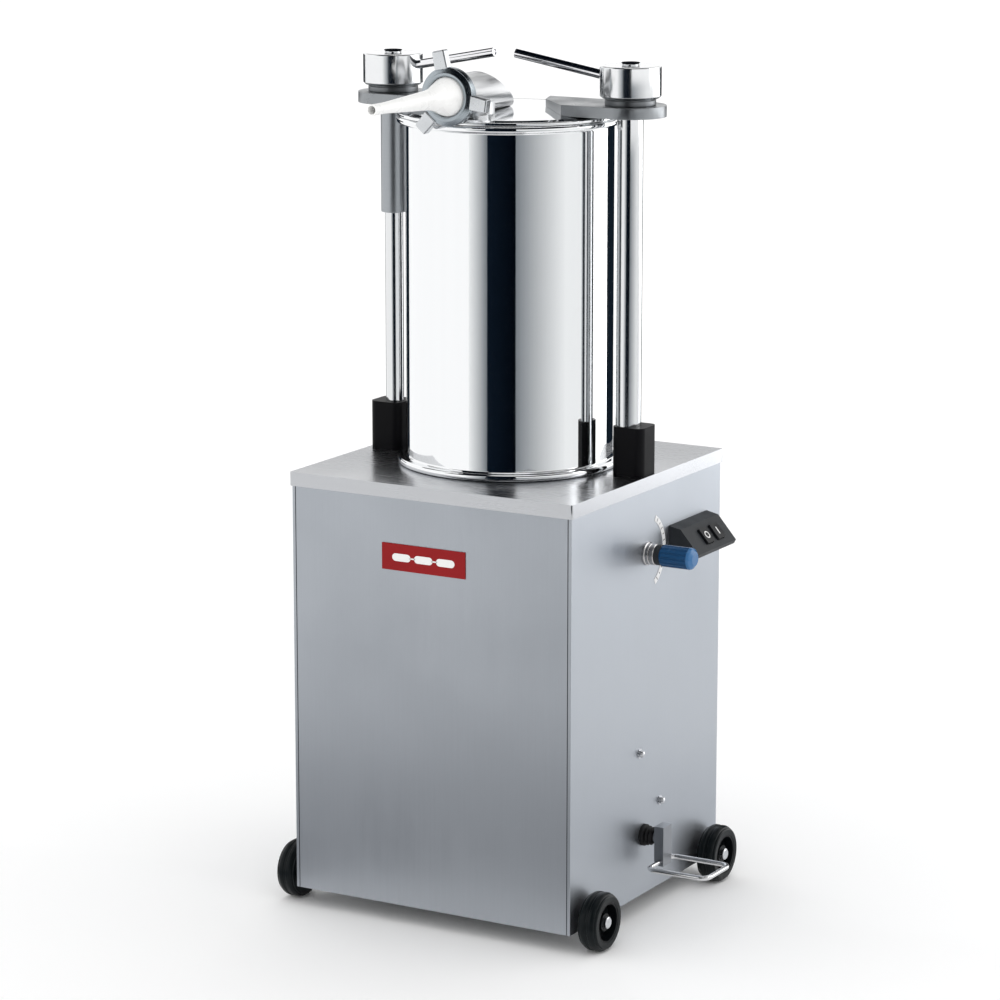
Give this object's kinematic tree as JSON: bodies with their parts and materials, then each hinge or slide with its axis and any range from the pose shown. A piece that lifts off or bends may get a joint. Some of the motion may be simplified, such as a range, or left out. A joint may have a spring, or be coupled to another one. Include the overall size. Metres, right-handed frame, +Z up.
{
  "type": "sausage stuffer",
  "caption": "Floor-standing hydraulic sausage stuffer with a swing lid over a polished meat cylinder, side nozzle, screw clamps and knee lever.",
  "frame": {"origin": "on the floor, directly below the meat cylinder's axis", "axes": "+Z up along the meat cylinder, -Y to the front where the nozzle points, +X to the right-hand face with the controls"},
  "size_m": [0.5913, 0.582, 1.1857],
  "materials": {
    "brushed_cabinet": "brushed stainless sheet",
    "brushed_cover": "fine brushed stainless sheet",
    "mirror_steel": "mirror-polished stainless",
    "polished_column": "ground and polished",
    "satin_sleeve": "satin",
    "cast_arm": "bead-blasted",
    "ring_metal": "satin cast",
    "knob_chrome": "polished",
    "rod_chrome": "polished",
    "dark_washer": "blackened",
    "black_block": "moulded",
    "white_nozzle": "moulded",
    "seal_rubber": "moulded",
    "wheel_tread": "moulded",
    "wheel_hub": "moulded",
    "fastener_steel": "zinc plated",
    "gland_plastic": "moulded",
    "red_label": "enamelled",
    "scale_film": "printed film",
    "blue_grip": "moulded",
    "bush_chrome": "plated",
    "switch_black": "fine texture",
    "button_grey": "moulded",
    "lever_steel": "ground",
    "loop_steel": "polished",
    "frame_steel": "grey primer",
    "ram_steel": "drawn tube",
    "motor_paint": "enamel",
    "pump_alloy": "cast",
    "rotor_steel": "machined"
  },
  "bodies": {
    "cabinet": {"cabinet_shell": "brushed_cabinet", "top_cover": "brushed_cover", "base_tray": "frame_steel", "rear_panel": "brushed_cabinet", "panel_fasteners": "fastener_steel", "cable_gland": "gland_plastic", "front_plate": "red_label", "bed_plate": "frame_steel", "frame_bolts": "fastener_steel", "left_column": "polished_column", "right_column": "polished_column", "left_column_block": "black_block", "right_column_block": "black_block", "meat_cylinder": "mirror_steel", "ram_barrel": "ram_steel", "ram_end_cap": "frame_steel", "rod_gland": "ram_steel", "oil_tank": "frame_steel", "motor_housing": "motor_paint", "gear_pump": "pump_alloy", "speed_valve": "pump_alloy", "knee_valve": "pump_alloy", "oil_pipes": "ram_steel", "valve_bush": "bush_chrome", "curved_scale": "scale_film", "switch_box": "switch_black", "lever_boot": "seal_rubber", "wheel_bolts": "fastener_steel"},
    "piston": {"piston_disc": "mirror_steel", "piston_seal": "seal_rubber", "piston_rod": "polished_column"},
    "motor": {"motor_rotor": "rotor_steel"},
    "lid": {"lid_disc": "mirror_steel", "lid_gasket": "seal_rubber", "lid_arms": "cast_arm", "hinge_sleeve": "satin_sleeve", "outlet_elbow": "cast_arm"},
    "nozzle": {"filling_nozzle": "white_nozzle"},
    "nut": {"ring_nut": "ring_metal"},
    "left_thrust": {"left_thrust_washer": "dark_washer"},
    "left_clamp": {"left_knob": "knob_chrome", "left_lever_rod": "rod_chrome"},
    "right_thrust": {"right_thrust_washer": "dark_washer"},
    "right_clamp": {"right_knob": "knob_chrome", "right_lever_rod": "rod_chrome"},
    "speed_control": {"speed_knob": "blue_grip", "valve_stem": "fastener_steel"},
    "start_key": {"start_button": "button_grey"},
    "stop_key": {"stop_button": "button_grey"},
    "knee_lever": {"lever_shaft": "lever_steel", "lever_bar": "lever_steel", "lever_loop": "loop_steel"},
    "front_left_wheel": {"front_left_tyre": "wheel_tread", "front_left_hub": "wheel_hub"},
    "front_right_wheel": {"front_right_tyre": "wheel_tread", "front_right_hub": "wheel_hub"},
    "rear_left_wheel": {"rear_left_tyre": "wheel_tread", "rear_left_hub": "wheel_hub"},
    "rear_right_wheel": {"rear_right_tyre": "wheel_tread", "rear_right_hub": "wheel_hub"}
  },
  "joints": [
    {"name": "piston_rise", "type": "slide", "parent": "cabinet", "child": "piston", "axis": [0, 0, 1], "range_m": [0, 0.42]},
    {"name": "motor_spin", "type": "hinge", "parent": "cabinet", "child": "motor", "pos_m": [0.135, 0.11, 0.2], "axis": [0, 0, 1], "continuous": true},
    {"name": "lid_swing", "type": "hinge", "parent": "cabinet", "child": "lid", "pos_m": [-0.183, 0, 1], "axis": [0, 0, -1], "range_deg": [0, 110]},
    {"name": "nozzle_pull", "type": "slide", "parent": "lid", "child": "nozzle", "axis": [0, -1, 0], "range_m": [0, 0.12]},
    {"name": "nut_turn", "type": "hinge", "parent": "nozzle", "child": "nut", "pos_m": [0, -0.165, 1.124], "axis": [0, -1, 0], "continuous": true},
    {"name": "left_clamp_rise", "type": "slide", "parent": "cabinet", "child": "left_thrust", "axis": [0, 0, 1], "range_m": [0, 0.004]},
    {"name": "left_clamp_turn", "type": "hinge", "parent": "left_thrust", "child": "left_clamp", "pos_m": [-0.183, 0, 1.14], "axis": [0, 0, 1], "range_deg": [0, 300]},
    {"name": "right_clamp_rise", "type": "slide", "parent": "cabinet", "child": "right_thrust", "axis": [0, 0, 1], "range_m": [0, 0.004]},
    {"name": "right_clamp_turn", "type": "hinge", "parent": "right_thrust", "child": "right_clamp", "pos_m": [0.183, 0, 1.14], "axis": [0, 0, 1], "range_deg": [0, 300]},
    {"name": "speed_turn", "type": "hinge", "parent": "cabinet", "child": "speed_control", "pos_m": [0.25, -0.004, 0.506], "axis": [1, 0, 0], "range_deg": [-130, 130]},
    {"name": "start_press", "type": "slide", "parent": "cabinet", "child": "start_key", "axis": [-0.7576, 0, -0.6527], "range_m": [0, 0.003], "stiffness_N_per_m": 400},
    {"name": "stop_press", "type": "slide", "parent": "cabinet", "child": "stop_key", "axis": [-0.7576, 0, -0.6527], "range_m": [0, 0.003], "stiffness_N_per_m": 400},
    {"name": "knee_swing", "type": "hinge", "parent": "cabinet", "child": "knee_lever", "pos_m": [0.245, -0.007, 0.112], "axis": [1, 0, 0], "range_deg": [-12, 12], "stiffness_Nm_per_rad": 8},
    {"name": "front_left_roll", "type": "hinge", "parent": "cabinet", "child": "front_left_wheel", "pos_m": [-0.2375, -0.174, 0.04], "axis": [1, 0, 0], "continuous": true},
    {"name": "front_right_roll", "type": "hinge", "parent": "cabinet", "child": "front_right_wheel", "pos_m": [0.2375, -0.174, 0.04], "axis": [1, 0, 0], "continuous": true},
    {"name": "rear_left_roll", "type": "hinge", "parent": "cabinet", "child": "rear_left_wheel", "pos_m": [-0.2375, 0.174, 0.04], "axis": [1, 0, 0], "continuous": true},
    {"name": "rear_right_roll", "type": "hinge", "parent": "cabinet", "child": "rear_right_wheel", "pos_m": [0.2375, 0.174, 0.04], "axis": [1, 0, 0], "continuous": true}
  ],
  "couplings": [
    {"joint": "left_clamp_rise", "follows": "left_clamp_turn", "m_per_rad": 0.00063662},
    {"joint": "right_clamp_rise", "follows": "right_clamp_turn", "m_per_rad": 0.00063662}
  ]
}
